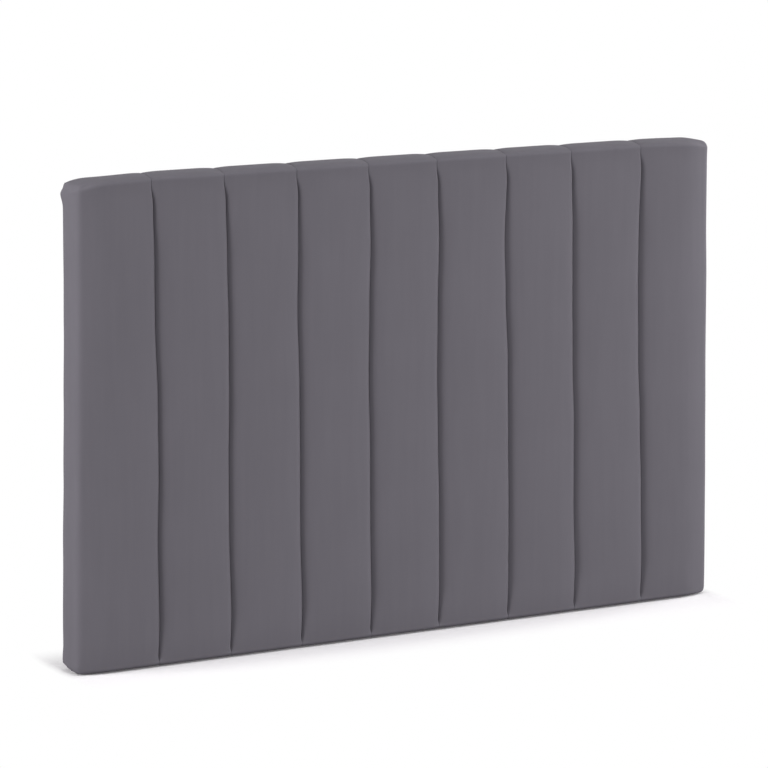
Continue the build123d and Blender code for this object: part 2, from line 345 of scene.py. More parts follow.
def floor_material(settings):
    """Studio floor: white to the eye, and a plain pale floor to the light that it sends on."""
    material, tree = new_material("Studio floor, matt lacquer")
    plain = add_node(tree, "ShaderNodeBsdfDiffuse", {"Color": rgba(settings.floor_colour)})
    white, extra = (add_node(tree, "ShaderNodeBsdfDiffuse",
                             {"Color": rgba(shade(linear(floor_white), part))}).outputs[0]
                    for part in (1, settings.floor_lift))
    lifted = add_node(tree, "ShaderNodeAddShader", links={0: white, 1: extra})
    bright = add_node(tree, "ShaderNodeEmission", {"Color": (1, 1, 1, 1), "Strength": 1.0})
    away = add_node(tree, "ShaderNodeTexCoord").outputs["Object"]
    for operation, values in (("ABSOLUTE", {}), ("SUBTRACT", {1: (body_high.x, body_high.y, 0)}),
                              ("MAXIMUM", {1: (0, 0, 0)}),
                              ("MULTIPLY", {1: (settings.end_fade, 1, 1)})):
        away = add_node(tree, "ShaderNodeVectorMath", values, {0: away},
                        operation=operation).outputs["Vector"]
    away = add_node(tree, "ShaderNodeVectorMath", links={0: away},
                    operation="LENGTH").outputs["Value"]
    far = add_node(tree, "ShaderNodeMapRange",
                   {"From Min": settings.shadow_start, "From Max": settings.shadow_end},
                   {"Value": away}, interpolation_type="SMOOTHSTEP").outputs["Result"]
    shown = add_node(tree, "ShaderNodeMixShader", links={0: far, 1: lifted.outputs[0],
                                                         2: bright.outputs[0]})
    mixed = add_node(tree, "ShaderNodeMixShader", links={0: seen_rays(tree), 1: plain.outputs[0],
                                                         2: shown.outputs[0]})
    finish_material(tree, mixed)
    return material


# Shapes

def smooth(value):
    """Smooth step from zero to one."""
    value = min(max(value, 0.0), 1.0)
    return value * value * (3 - 2 * value)


def mixed_value(start, end, share):
    return start + (end - start) * share


def wander(seam, z):
    """Sideways wander of a seam, or of an end of the body, at a height."""
    shifts = seam_wander[seam % len(seam_wander)]
    share = (z - body_low.z) / (body_high.z - body_low.z)
    knots = wander_height_shares
    if share <= knots[0]:
        return shifts[0] * mm
    for place in range(len(knots) - 1):
        if share <= knots[place + 1]:
            part = (share - knots[place]) / (knots[place + 1] - knots[place])
            return mixed_value(shifts[place], shifts[place + 1], smooth(part)) * mm
    return shifts[-1] * mm


def back_share(point):
    """Zero at the front of the body and one at its rear."""
    return min(max((point.y - body_low.y) / (body_high.y - body_low.y), 0.0), 1.0)


def end_distance(point):
    """Distance to the nearer end of the body."""
    return max(min(point.x - body_low.x, body_high.x - point.x), 0.0)


def eased_body(point, settings, inset=0.0):
    """A point on the plain box of the body brought onto its rounded skin, and the way out."""
    back = smooth(back_share(point))
    near_end = smooth(1 - end_distance(point) / settings.end_width)
    side = mixed_value(settings.side_round, settings.rear_round * end_rear_share, back)
    top = mixed_value(settings.top_round, settings.corner_round, near_end)
    near_top = smooth(1 - (body_high.z - point.z) / (crown_share * settings.top_round))
    rear = mixed_value(settings.rear_round, settings.rear_depth, near_top * (1 - near_end))
    bottom = mixed_value(settings.bottom_round, settings.corner_round, near_end)
    bottom = mixed_value(bottom, settings.rear_round, back)
    above = smooth((point.z - body_low.z) / settings.front_reach)
    front = mixed_value(settings.bottom_front_round, settings.front_round, above)
    front = mixed_value(front, settings.end_front_round, near_end)
    low_reach = Vector((side, front, bottom))
    high_reach = Vector((side, rear, top))
    offset = Vector()
    core = Vector()
    reach = Vector()
    for axis in range(3):
        low = body_low[axis] + low_reach[axis]
        high = body_high[axis] - high_reach[axis]
        core[axis] = min(max(point[axis], low), high)
        reach[axis] = low_reach[axis] if point[axis] < low else high_reach[axis]
        offset[axis] = (point[axis] - core[axis]) / reach[axis]
    if offset.length == 0:
        return point.copy(), Vector((0, -1, 0))
    scale = max(abs(part) for part in offset) / offset.length
    out = Vector([offset[axis] / reach[axis] for axis in range(3)]).normalized()
    skin = core + Vector([offset[axis] * reach[axis] for axis in range(3)]) * scale
    return skin - out * inset, out


def corner_lift(point, settings):
    """How far the cover rises along the top, sinks at its corners, and rises behind below."""
    near = max(1 - end_distance(point) / settings.corner_reach, 0.0) ** 2
    sunk = smooth(1 - (body_high.z - point.z) / settings.drop_height)
    raised = smooth(1 - (point.z - body_low.z) / settings.drop_height) * back_share(point)
    drop = settings.corner_drop if point.x < 0 else settings.right_corner_drop
    return near * (settings.bottom_rise * raised - drop * sunk) + settings.top_rise * sunk


def edge_roll(point, out, settings):
    """How far the front swells out under the top edge, and falls back above the bottom one."""
    below = max(body_high.z - settings.top_round - point.z, 0.0)
    above = max(point.z - body_low.z - settings.bottom_round, 0.0)
    swollen = max(1 - below / settings.roll_height, 0.0) ** 2
    tucked = max(1 - above / settings.roll_height, 0.0) ** 2
    return (swollen - tucked) * settings.roll_depth * max(-out.y, 0.0) ** 2


def corner_fold(point, out, settings):
    """Depth of the small fold that runs inwards from a front top corner."""
    along = (end_distance(point) - settings.fold_start) / settings.fold_length
    across = (body_high.z - settings.fold_drop - point.z) / settings.fold_width
    if not 0 < along < 1 or abs(across) >= 1:
        return 0.0
    fading = smooth(along * fold_steepness) * (1 - along) ** 2
    front = min(max(-2 * out.y, 0.0), 1.0)
    return settings.fold_depth * fading * (1 - across * across) ** 2 * front


def cut_across(mesh, axis, places, parts=None):
    """Cuts a mesh, or the given parts of it, right through at some places along an axis."""
    across = Vector([float(axis == other) for other in range(3)])
    for place in places:
        geom = mesh.verts[:] + mesh.edges[:] + mesh.faces[:] if parts is None else parts
        bmesh.ops.bisect_plane(mesh, geom=geom, plane_co=across * place, plane_no=across,
                               dist=cut_tolerance)


def cut_box(low, high, cuts):
    """Box cut right through at the given places along X, Y and Z."""
    mesh = bmesh.new()
    bmesh.ops.create_cube(mesh, size=1)
    bmesh.ops.scale(mesh, vec=high - low, verts=mesh.verts)
    bmesh.ops.translate(mesh, vec=(low + high) / 2, verts=mesh.verts)
    for axis in (2, 1, 0):
        cut_across(mesh, axis, cuts[axis])
    return mesh


def spaced(low, high, step, fine, margin):
    """Places between low and high, closer together within a margin of each end."""
    inner_low = low + margin
    inner_high = high - margin
    edge_count = max(round(margin / fine), 1)
    count = max(round((inner_high - inner_low) / step), 1)
    places = [low + margin * number / edge_count for number in range(1, edge_count)]
    places += [inner_low + (inner_high - inner_low) * number / count
               for number in range(count + 1)]
    places += [inner_high + margin * number / edge_count for number in range(1, edge_count)]
    return places


def column_shares(count, power):
    """Shares of a channel's width, closer together towards both of its seams."""
    near = [(number / count) ** power / 2 for number in range(1, count)]
    return near + [0.5] + [1 - share for share in reversed(near)]


def new_piece(mesh, name, material, replaced=()):
    """Makes a piece of a bmesh, with its finish and the nodes that it stands for."""
    data = bpy.data.meshes.new(name)
    mesh.to_mesh(data)
    mesh.free()
    data.materials.append(material)
    for face in data.polygons:
        face.use_smooth = True
    piece = bpy.data.objects.new(name, data)
    bpy.context.scene.collection.objects.link(piece)
    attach(piece, body_name)
    if replaced:
        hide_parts(*replaced)
    return piece


def add_skin(piece, thickness, offset, levels=0):
    """Gives a piece its cloth thickness, inwards where the offset is -1, then smooths it."""
    skin = piece.modifiers.new("Cloth thickness", "SOLIDIFY")
    skin.thickness = thickness
    skin.offset = offset
    if levels:
        rounding = piece.modifiers.new("Smooth cloth", "SUBSURF")
        rounding.levels = levels
        rounding.render_levels = levels


# Padded channels

def top_opening(z, settings):
    """Zero at the top edge, where a crease is closed, and one where it is deep."""
    return smooth((body_high.z - z - settings.taper_start) / settings.taper_length)


def foot_opening(z, settings):
    """The same for the bottom edge."""
    return smooth((z - body_low.z - settings.foot_start) / settings.foot_length)


def crease_widening(z, settings):
    """Share of its full width that a crease has, which grows from the top and bottom edges."""
    from_top = smooth((body_high.z - z) / settings.widening_length)
    from_bottom = smooth((z - body_low.z) / settings.foot_widening)
    return mixed_value(settings.narrow_share, 1, min(from_top, from_bottom))


def seam_line(seam, point, settings):
    """Sideways shift of a seam: its wander, and its lean where its crease closes in front."""
    shift = wander(seam, point.z)
    if 0 < seam < channel_count:
        lean = settings.crease_lean * (1 - top_opening(point.z, settings))
        lean += settings.foot_lean * (1 - smooth((point.z - body_low.z) / settings.foot_widening))
        shift -= lean * (1 - back_share(point))
    return shift


def seam_sink(distance, out, plain, settings):
    """How far the cover is drawn in at a distance from a seam, for a face that looks one way."""
    widening = crease_widening(plain.z, settings)
    if distance >= settings.soft_width:
        return 0.0
    front = max(-out.y, 0.0) ** 2
    top = max(out.z, 0.0) ** 2
    rest = max(1 - front - top, 0.0)
    open_share = top_opening(plain.z, settings) * foot_opening(plain.z, settings)
    over_top = settings.top_crease * mixed_value(settings.top_crease_front, 1, back_share(plain))
    tight = mixed_value(over_top, settings.seam_crease, open_share) * front
    tight += over_top * top + settings.rear_crease * rest
    loose = mixed_value(settings.top_draw, settings.seam_draw * widening, open_share) * front
    loose += settings.top_draw * top
    sink = loose * (1 - distance / settings.soft_width) ** 2
    if distance < settings.crease_width * widening:
        share = 1 - distance / (settings.crease_width * widening)
        soft = settings.crease_softness
        sink += tight * (1 + soft) * share * share / (share + soft)
    return sink


def end_fall(point, settings):
    """How far the front falls back towards an end: an even slope that eases off inwards.

    It is a parabola over the inner half of the width, then the straight line that carries on
    from it to three quarters."""
    left = max(1 - end_distance(point) / settings.end_width, 0.0)
    fallen = left * left if left < 0.5 else left - 0.25
    fading = max(1 - (point.y - body_low.y) / settings.end_fading, 0.0)
    return settings.end_draw * fallen / 0.75 * fading


def end_swell(point, settings):
    """How far an end swells outwards between its front and rear edges."""
    left = max(1 - end_distance(point) / settings.end_width, 0.0)
    middle = math.sin(math.pi * back_share(point))
    return math.copysign(settings.end_swell * smooth(left) * middle, point.x)


def ear(point, settings):
    """How far the folded cloth stands out at the rear corners of an end."""
    above = point.z - (body_high.z - settings.ear_place)
    reach = settings.ear_rise if above > 0 else settings.ear_reach
    top = smooth(1 - abs(above) / reach)
    low = smooth(1 - abs(point.z - body_low.z - settings.ear_rise) / settings.ear_reach)
    rear = smooth(2 * back_share(point) - 1)
    return rear * (settings.top_ear * top + settings.bottom_ear * low)


def cover_freedom(point, left, right, settings):
    """Zero where a cover is held by a seam, the floor or an edge, and one where it is free."""
    beside = min(point.x - left, right - point.x)
    beyond = min(point.z - body_low.z, body_high.z - point.z)
    return smooth(beside / settings.held_width) * smooth(beyond / settings.held_height)


def opened_box(template, first, last, width, settings):
    """Copy of the box without its faces at a seam and those behind, inside the flange."""
    mesh = template.copy()
    for face in list(mesh.faces):
        middle = face.calc_center_median()
        on_left = middle.x < cut_tolerance and not first
        on_right = middle.x > 1 - cut_tolerance and not last
        behind = middle.y > body_high.y - cut_tolerance
        inside = body_low.z + settings.flange < middle.z < body_high.z - settings.flange
        beside = min(middle.x if first else 1, 1 - middle.x if last else 1) * width
        if on_left or on_right or (behind and inside and beside > settings.flange):
            mesh.faces.remove(face)
    for parts in (mesh.edges, mesh.verts):
        for part in list(parts):
            if not part.link_faces:
                parts.remove(part)
    return mesh


def channel_mesh(number, template, settings):
    """The cover of one channel: front, top, bottom and the flange folded over behind."""
    first = number == 0
    last = number == channel_count - 1
    left = edge_x[number] + (0 if first else settings.seam_gap)
    right = edge_x[number + 1] - (0 if last else settings.seam_gap)
    width = right - left
    mesh = opened_box(template, first, last, width, settings)
    seam_verts = {}
    freedom = mesh.verts.layers.float.new("freedom")
    for vert in mesh.verts:
        share = vert.co.x
        plain = Vector((left + width * share, vert.co.y, vert.co.z))
        skin, out = eased_body(plain, settings)
        sink = corner_fold(plain, out, settings) - edge_roll(plain, out, settings)
        vert[freedom] = cover_freedom(plain, left, right, settings) * max(-out.y, 0.0)
        sink += settings.slack * vert[freedom]
        if not first:
            sink += seam_sink(width * share, out, plain, settings)
        if not last:
            sink += seam_sink(width * (1 - share), out, plain, settings)
        shift = mixed_value(seam_line(number, plain, settings),
                            seam_line(number + 1, plain, settings), share)
        moved = skin - out * sink
        moved.x += shift + end_swell(skin, settings)
        moved.y += end_fall(skin, settings)
        moved.z += corner_lift(plain, settings)
        if first or last:
            high = smooth(1 - (body_high.z - plain.z) / settings.drop_height)
            outer = 1 - share * share if first else share * share
            moved.z -= settings.outer_drop * high * outer
            moved.x += ear(plain, settings) * out.x * abs(out.x)
        if share == 0 and not first or share == 1 and not last:
            seam_verts[vert] = out
        vert.co = moved
    add_allowance(mesh, seam_verts, settings)
    cut_pockets(mesh)
    return mesh


def cut_pockets(mesh):
    """Cuts the openings under the hanger plates out of the flange behind."""
    rear = body_high.y - flange_reach
    for low, high in pockets:
        for axis, place in ((0, low.x), (0, high.x), (2, high.z)):
            faces = [face for face in mesh.faces
                     if all(vert.co.y > rear for vert in face.verts)
                     and face.normal.y > flange_facing
                     and abs(face.calc_center_median().x - (low.x + high.x) / 2) < pocket_reach
                     and face.calc_center_median().z > low.z - pocket_reach_below]
            parts = set(faces)
            for face in faces:
                parts.update(face.edges)
                parts.update(face.verts)
            cut_across(mesh, axis, [place], list(parts))
    cut = [face for face in mesh.faces
           if face.calc_center_median().y > rear and in_pocket(face.calc_center_median())]
    bmesh.ops.delete(mesh, geom=cut, context="FACES")


def add_allowance(mesh, seam_verts, settings):
    """Turns the cover in at its seams by the sewing allowance."""
    rim = [edge for edge in mesh.edges
           if edge.is_boundary and all(vert in seam_verts for vert in edge.verts)]
    sources = {tuple(round(part, 7) for part in vert.co): out for vert, out in seam_verts.items()}
    grown = bmesh.ops.extrude_edge_only(mesh, edges=rim)["geom"]
    for vert in (part for part in grown if isinstance(part, bmesh.types.BMVert)):
        out = sources[tuple(round(part, 7) for part in vert.co)]
        vert.co -= out * settings.allowance
    bmesh.ops.recalc_face_normals(mesh, faces=mesh.faces)


def settle(pieces, settings):
    """Lets the padding press the covers out from inside, as cloth held at its seams and edges."""
    scene = bpy.context.scene
    for piece in pieces:
        held = piece.vertex_groups.new(name="Held")
        for index, share in enumerate(piece.data.attributes["freedom"].data):
            held.add([index], 1 - share.value, "REPLACE")
        cloth = piece.modifiers.new("Cloth", "CLOTH")
        fabric = cloth.settings
        fabric.quality = fabric_quality
        fabric.mass = fabric_mass
        fabric.tension_stiffness = settings.cloth_stiffness
        fabric.compression_stiffness = settings.cloth_stiffness
        fabric.shear_stiffness = settings.cloth_stiffness / shear_softness
        fabric.bending_stiffness = settings.cloth_bending
        fabric.use_pressure = True
        fabric.uniform_pressure_force = settings.pressure
        fabric.effector_weights.gravity = 0
        fabric.vertex_group_mass = held.name
        cloth.collision_settings.use_collision = False
    for number in range(settings.frames):
        scene.frame_set(number + 1)
    graph = bpy.context.evaluated_depsgraph_get()
    settled = [[vert.co.copy() for vert in piece.evaluated_get(graph).data.vertices]
               for piece in pieces]
    for piece, places in zip(pieces, settled):
        piece.modifiers.remove(piece.modifiers["Cloth"])
        piece.vertex_groups.clear()
        for vert, place in zip(piece.data.vertices, places):
            way = place - vert.co
            vert.co += way * settings.travel_cap / (settings.travel_cap + way.length)
    scene.frame_set(1)


def channel_template(settings):
    """Box one unit wide, cut into the rows and columns that every channel shares."""
    rows = spaced(body_low.z, body_high.z, settings.row_step, fine_step, row_margin)
    layers = spaced(body_low.y, body_high.y, layer_step, fine_step, layer_margin)
    columns = column_shares(settings.columns, column_crowding)
    low = Vector((0, body_low.y, body_low.z))
    high = Vector((1, body_high.y, body_high.z))
    return cut_box(low, high, (columns, layers, rows))


# Settings

def amount(name, description, value, **limits):
    return FloatProperty(name=name, description=description, default=value, **limits)


def length(name, description, millimetres):
    return amount(name, description, millimetres * mm, unit="LENGTH")


def share_setting(name, description, share):
    return amount(name, description, share, min=0, max=1)


def angle(name, description, degrees):
    return amount(name, description, math.radians(degrees), subtype="ANGLE")


def whole(name, description, value, least):
    return IntProperty(name=name, description=description, default=value, min=least)


def colour_setting(name, description, code):
    return FloatVectorProperty(name=name, description=description, default=linear(code),
                               subtype="COLOR", min=0, max=1)


class CoverSettings(bpy.types.PropertyGroup):
    velvet_colour: colour_setting("Velvet", "Colour of the velvet pile", "#67646B")
    velvet_roughness: share_setting("Velvet roughness", "How matt the pile is", 0.9)
    sheen: share_setting("Sheen", "How much the pile pales at grazing angles", 0.04)
    sheen_roughness: share_setting("Sheen spread", "How widely the sheen spreads", 0.45)
    front_round: length("Front rounding", "Depth of the rounded front edges", 30)
    roll_depth: length("Edge roll", "How far the front swells out at the top edge", 2.2)
    roll_height: length("Edge roll height", "Height over which the front swells out", 32)
    rear_depth: length("Rear top rounding", "Depth of the rounded top edge behind", 26)
    top_rise: length("Top rise", "How far the crown of the top rises over the frame's cover", 2.9)
    front_reach: length(
        "Front rounding reach", "Height where the front edges reach that depth", 60)
    bottom_front_round: length("Bottom front rounding", "Depth of the rounded bottom edge", 18)
    side_round: length("Side rounding", "Width of the rounded edges at both ends", 8)
    end_front_round: length(
        "Front rounding at ends", "Depth of the rounded edges at both ends", 10)
    corner_round: length("Corner rounding", "Height of the rounded corners of the front", 10)
    bottom_rise: length("Corner rise", "How far the rear bottom corners rise", 9)
    corner_drop: length("Corner drop", "How far the top sinks at the left end", 9)
    right_corner_drop: length("Right corner drop", "The same at the right end", 5.5)
    corner_reach: length("Corner reach", "Distance from an end where the top starts to sink", 38)
    fold_start: length("Fold start", "Distance of the corner fold from the end", 3)
    fold_length: length("Fold length", "Length of the corner fold", 60)
    fold_drop: length("Fold drop", "Distance of the corner fold below the top", 5)
    fold_width: length("Fold width", "Half the width of the corner fold", 4)
    fold_depth: length("Fold depth", "Depth of the corner fold", 3)
    drop_height: length("Drop height", "Height over which the sinking dies away", 60)
    top_round: length("Top rounding", "Height of the rounded top edge", 6)
    bottom_round: length("Bottom rounding", "Height of the rounded bottom edge", 8)
    rear_round: length("Rear rounding", "Rounding of the rear edges", 2.5)
    seam_gap: length("Seam gap", "Room between a channel and the seam line", 0.1)
    seam_draw: length("Draw at seams", "How far the padding falls away towards a seam", 6.5)
    seam_crease: length("Crease at seams", "Depth of the tight crease at a seam", 4.1)
    crease_softness: amount(
        "Crease shoulder", "Share of a crease taken by its rounded shoulder", 0.3, min=0.01, max=2)
    soft_width: length("Draw width", "How far from a seam the padding starts to fall away", 27)
    crease_width: length("Crease width", "How far from a seam the tight crease starts", 6.5)
    top_draw: length("Draw on top", "How far the top falls away towards a seam", 1.6)
    top_crease: length("Crease on top", "Depth of the crease over the top edge", 1.1)
    top_crease_front: share_setting(
        "Crease at the top edge", "Share of that depth at the front", 0.1)
    rear_crease: length("Crease behind", "Depth of the crease behind and below", 0.4)
    taper_start: length("Crease end", "Distance from the top where a crease opens", 12)
    taper_length: length("Crease taper", "Length over which a crease reaches its full depth", 28)
    foot_start: length("Crease foot", "Distance from the bottom where a crease opens", 5)
    foot_length: length("Crease foot taper", "Length over which it opens there", 12)
    foot_widening: length(
        "Crease foot widening", "Distance from the bottom where it is widest", 70)
    narrow_share: amount(
        "Crease width at ends", "Share of its width that a crease has there", 0.4, min=0.05, max=1)
    widening_length: length(
        "Crease widening", "Distance from the top where a crease is widest", 150)
    crease_lean: length("Crease lean", "How far a seam leans sideways where its crease closes", 6)
    foot_lean: length("Foot lean", "The same where its crease narrows at the bottom edge", 4.5)
    end_draw: length("Draw at ends", "How far the front falls back towards both ends", 10.5)
    end_width: length(
        "Draw width at ends", "How far from an end the front starts to fall back", 46)
    end_fading: length("Draw depth at ends", "Distance behind the front where that dies away", 45)
    end_swell: length("Swell at ends", "How far both ends swell outwards", 3)
    outer_drop: length("Outer drop", "How far the outer channels sink towards the ends", 3)
    top_ear: length("Top fold", "How far the folded cloth stands out at the top corners", 4)
    bottom_ear: length("Bottom fold", "How far it stands out at the bottom corners", 1.5)
    ear_place: length("Fold place", "Distance of the fold below the top edge", 14)
    ear_reach: length("Fold reach", "How far down the fold dies away", 24)
    ear_rise: length("Fold rise", "How far up the fold dies away", 10)
    flange: length("Flange", "Width of the cloth folded over behind", 40)
    allowance: length("Seam allowance", "Cloth turned in at a seam", 6)
    cloth_thickness: length("Cloth thickness", "Thickness of the velvet", 1)
    held_width: length("Held width", "How far from a seam the cover is held", 24)
    held_height: length("Held height", "How far from the top and bottom the cover is held", 40)
    slack: length("Slack", "How far the cover lies back before it swells", 0.9)
    pressure: amount("Pressure", "Pressure of the padding on the cover", 4)
    cloth_stiffness: amount("Cloth stiffness", "Stiffness of the cover when it is stretched", 15)
    cloth_bending: amount("Bending stiffness", "Stiffness of the cover when it is bent", 0.5)
    frames: whole("Frames", "Frames over which the cover settles", 20, 2)
    travel_cap: length("Travel cap", "Farthest that a point of the cover may move", 2)
    wadding_inset: length("Wadding depth", "Room between the cover's skin and the wadding", 1.5)
    wadding_thickness: length("Wadding thickness", "Thickness of the wadding round the frame", 2.2)
    wadding_fluff: length("Wadding fluff", "Unevenness of the wadding", 0.25)
    wadding_lump: length("Wadding lumps", "Size of its lumps", 9)
    wadding_end: length("Wadding end", "Distance of a strip's end from the body's end", 16)
    wadding_rows: whole("Wadding rows", "Rows of the mesh along a strip", 90, 4)
    row_step: length("Row spacing", "Height of a row of the mesh", 6)
    columns: whole("Columns", "Columns of the mesh in half a channel", 14, 4)


class HEADBOARD_OT_channels(bpy.types.Operator):
    """Make the nine padded velvet channels"""

    bl_idname = "headboard.channels"
    bl_label = "Padded channels"

    def execute(self, context):
        settings = context.scene.headboard_cover
        material = velvet(settings)
        template = channel_template(settings)
        pieces = []
        for number in range(channel_count):
            mesh = channel_mesh(number, template, settings)
            name = number + 1
            pieces.append(new_piece(mesh, f"channel_{name}", material,
                                    (f"cover_strip_{name}", f"foam_bar_{name}")))
        template.free()
        settle(pieces, settings)
        for piece in pieces:
            piece.data.attributes.remove(piece.data.attributes["freedom"])
            add_skin(piece, settings.cloth_thickness, -1, levels=1)
        return {"FINISHED"}


# Wadding, dust cloth and felt pads

def wadding_strip(lengthwise, side, settings):
    """Strip of wadding that lies between the frame's edge and the cover, along one edge.

    It follows the cover's rounded skin at a small distance inside it."""
    mesh = bmesh.new()
    bmesh.ops.create_grid(mesh, x_segments=settings.wadding_rows,
                          y_segments=wadding_layers, size=0.5)
    for vert in mesh.verts:
        along = vert.co.x + 0.5
        y = mixed_value(board_front, rail_high.y, vert.co.y + 0.5)
        if lengthwise:
            z = body_high.z if side > 0 else body_low.z
            x = mixed_value(body_low.x + settings.wadding_end, body_high.x - settings.wadding_end,
                            along)
        else:
            x = body_high.x if side > 0 else body_low.x
            z = mixed_value(body_low.z + settings.wadding_end, body_high.z - settings.wadding_end,
                            along)
        plain = Vector((x, y, z))
        lump = noise.noise(plain / settings.wadding_lump) * settings.wadding_fluff
        inset = settings.wadding_inset - lump
        if lengthwise and side > 0:
            inset += settings.top_draw + settings.top_crease
        skin, out = eased_body(plain, settings, inset)
        vert.co = skin
        vert.co.z += corner_lift(plain, settings)
        if not lengthwise:
            vert.co.x += wander(channel_count if side > 0 else 0, z)
    bmesh.ops.solidify(mesh, geom=mesh.faces[:], thickness=settings.wadding_thickness)
    for vert in mesh.verts:
        if lengthwise:
            edge = rail_high.z if side > 0 else -rail_foot
            vert.co.z = max(vert.co.z * side, edge) * side
        else:
            vert.co.x = max(vert.co.x * side, rail_high.x) * side
    bmesh.ops.recalc_face_normals(mesh, faces=mesh.faces)
    return mesh


class HEADBOARD_OT_wadding(bpy.types.Operator):
    """Make the wadding round the frame's edges"""

    bl_idname = "headboard.wadding"
    bl_label = "Edge wadding"

    def execute(self, context):
        settings = context.scene.headboard_cover
        material = wadding_material()
        for name, lengthwise, side in (("top", True, 1), ("bottom", True, -1),
                                       ("left", False, -1), ("right", False, 1)):
            mesh = wadding_strip(lengthwise, side, settings)
            piece = new_piece(mesh, f"wadding_{name}", material,
                              (f"edge_wadding_{name}",))
        return {"FINISHED"}


def cloth_dip(x, z, settings):
    """How far the dust cloth sags between the frame's members, with faint pulled folds."""
    dip = 0.0
    for low, high in window_spans:
        across = (x - low.x) / (high.x - low.x)
        up = (z - low.z) / (high.z - low.z)
        if 0 < across < 1 and 0 < up < 1:
            dip = 16 * across * (1 - across) * up * (1 - up) * settings.cloth_sag
    beside = min(x - cloth_low.x, cloth_high.x - x)
    beyond = min(z - cloth_low.z, cloth_high.z - z)
    edge = min(beside, beyond)
    near = 1 - smooth(edge / settings.pull_reach)
    along = x if beyond < beside else z
    pulled = math.sin(along / settings.pull_spacing * math.pi) ** 2 * near * settings.pull_height
    ripple = noise.noise(Vector((x, 0, z)) / settings.ripple_size) * settings.ripple_height
    return dip - pulled + ripple * smooth(edge / settings.pull_reach)


class ClothSettings(bpy.types.PropertyGroup):
    cloth_colour: colour_setting("Dust cloth", "Colour of the dust cloth", "#1C1C1D")
    cloth_thickness: length("Thickness", "Thickness of the dust cloth", 0.4)
    cloth_step: length("Mesh spacing", "Spacing of the cloth's mesh", 6)
    cloth_sag: length("Sag", "How far the cloth dips between the frame's members", 1.5)
    pull_reach: length("Pull reach", "How far the folds between staples reach inwards", 26)
    pull_spacing: length("Pull spacing", "Distance between two folds", 110)
    pull_height: length("Pull height", "Height of the folds", 0.5)
    ripple_size: length("Ripple size", "Width of the faint ripples", 70)
    ripple_height: length("Ripple height", "Height of the faint ripples", 0.6)
    hem_width: length("Hem", "Width of the edge that is folded under", 12)
    hem_height: length("Hem step", "Height of the step at the folded edge", 0.35)


class HEADBOARD_OT_dust_cloth(bpy.types.Operator):
    """Make the dust cloth that closes the rear"""

    bl_idname = "headboard.dust_cloth"
    bl_label = "Dust cloth"

    def execute(self, context):
        settings = context.scene.headboard_cloth
        mesh = bmesh.new()
        bmesh.ops.create_grid(mesh, x_segments=1, y_segments=1, size=0.5)
        size = cloth_high - cloth_low
        for vert in mesh.verts:
            vert.co = (cloth_low.x + (vert.co.x + 0.5) * size.x, cloth_low.y,
                       cloth_low.z + (vert.co.y + 0.5) * size.z)
        columns, rows = (
            spaced(low, high, settings.cloth_step, cloth_fine_step, cloth_margin)
            for low, high in ((cloth_low.x, cloth_high.x), (cloth_low.z, cloth_high.z)))
        columns += [edge for low, high in pockets for edge in (low.x, high.x)]
        rows += [pockets[0][0].z, pockets[0][1].z]
        cut_across(mesh, 0, columns)
        cut_across(mesh, 2, rows)
        cut = [face for face in mesh.faces if in_pocket(face.calc_center_median())]
        bmesh.ops.delete(mesh, geom=cut, context="FACES")
        for vert in mesh.verts:
            vert.co.y -= cloth_dip(vert.co.x, vert.co.z, settings)
            edge = min(vert.co.x - cloth_low.x, cloth_high.x - vert.co.x,
                       vert.co.z - cloth_low.z, cloth_high.z - vert.co.z)
            hem = smooth((settings.hem_width - edge) / hem_slope + 0.5)
            vert.co.y += settings.hem_height * hem
        for face in mesh.faces:
            if face.normal.y < 0:
                face.normal_flip()
        piece = new_piece(mesh, "dust_cloth", dust_cloth_material(settings),
                          ("back_cloth",))
        add_skin(piece, settings.cloth_thickness, 1)
        return {"FINISHED"}


def in_pocket(point):
    """Whether a point behind lies in the opening under a hanger plate."""
    return any(low.x < point.x < high.x and low.z < point.z < high.z for low, high in pockets)


class PadSettings(bpy.types.PropertyGroup):
    pad_edge: length("Pad edge", "Rounding of a felt pad's rim", 0.7)
    pad_sides: whole("Pad sides", "Sides of a felt pad's outline", 64, 12)


class HEADBOARD_OT_felt_pads(bpy.types.Operator):
    """Make the felt pads behind the bottom rail"""

    bl_idname = "headboard.felt_pads"
    bl_label = "Felt pads"

    def execute(self, context):
        settings = context.scene.headboard_pads
        material = felt_material()
        for side in ("left", "right"):
            low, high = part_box(f"wall_pad_{side}")
            radius = (high.x - low.x) / 2
            thick = high.y - low.y
            mesh = bmesh.new()
            bmesh.ops.create_cone(mesh, cap_ends=True, segments=settings.pad_sides,
                                  radius1=radius, radius2=radius, depth=thick)
            bmesh.ops.rotate(mesh, verts=mesh.verts, cent=(0, 0, 0),
                             matrix=Matrix.Rotation(-math.pi / 2, 3, "X"))
            rim = [edge for edge in mesh.edges
                   if all(vert.co.y > thick / 4 for vert in edge.verts)]
            bmesh.ops.bevel(mesh, geom=rim, offset=settings.pad_edge, affect="EDGES",
                            segments=4, profile=0.5, material=-1)
            bmesh.ops.translate(mesh, vec=(low + high) / 2, verts=mesh.verts)
            bmesh.ops.recalc_face_normals(mesh, faces=mesh.faces)
            new_piece(mesh, f"felt_pad_{side}", material, (f"wall_pad_{side}",))
        return {"FINISHED"}


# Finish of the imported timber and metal

class HEADBOARD_OT_timber(bpy.types.Operator):
    """Finish the frame, its corner blocks and the front board"""

    bl_idname = "headboard.timber"
    bl_label = "Timber"

    def execute(self, context):
        level = pine("Pine, planed, grain level", 0)
        upright = pine("Pine, planed, grain upright", 2)
        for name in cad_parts:
            if "stile" in name or "block" in name:
                dress(name, upright)
            elif name.endswith("_rail"):
                dress(name, level)
        dress("front_board", hardboard())
        return {"FINISHED"}


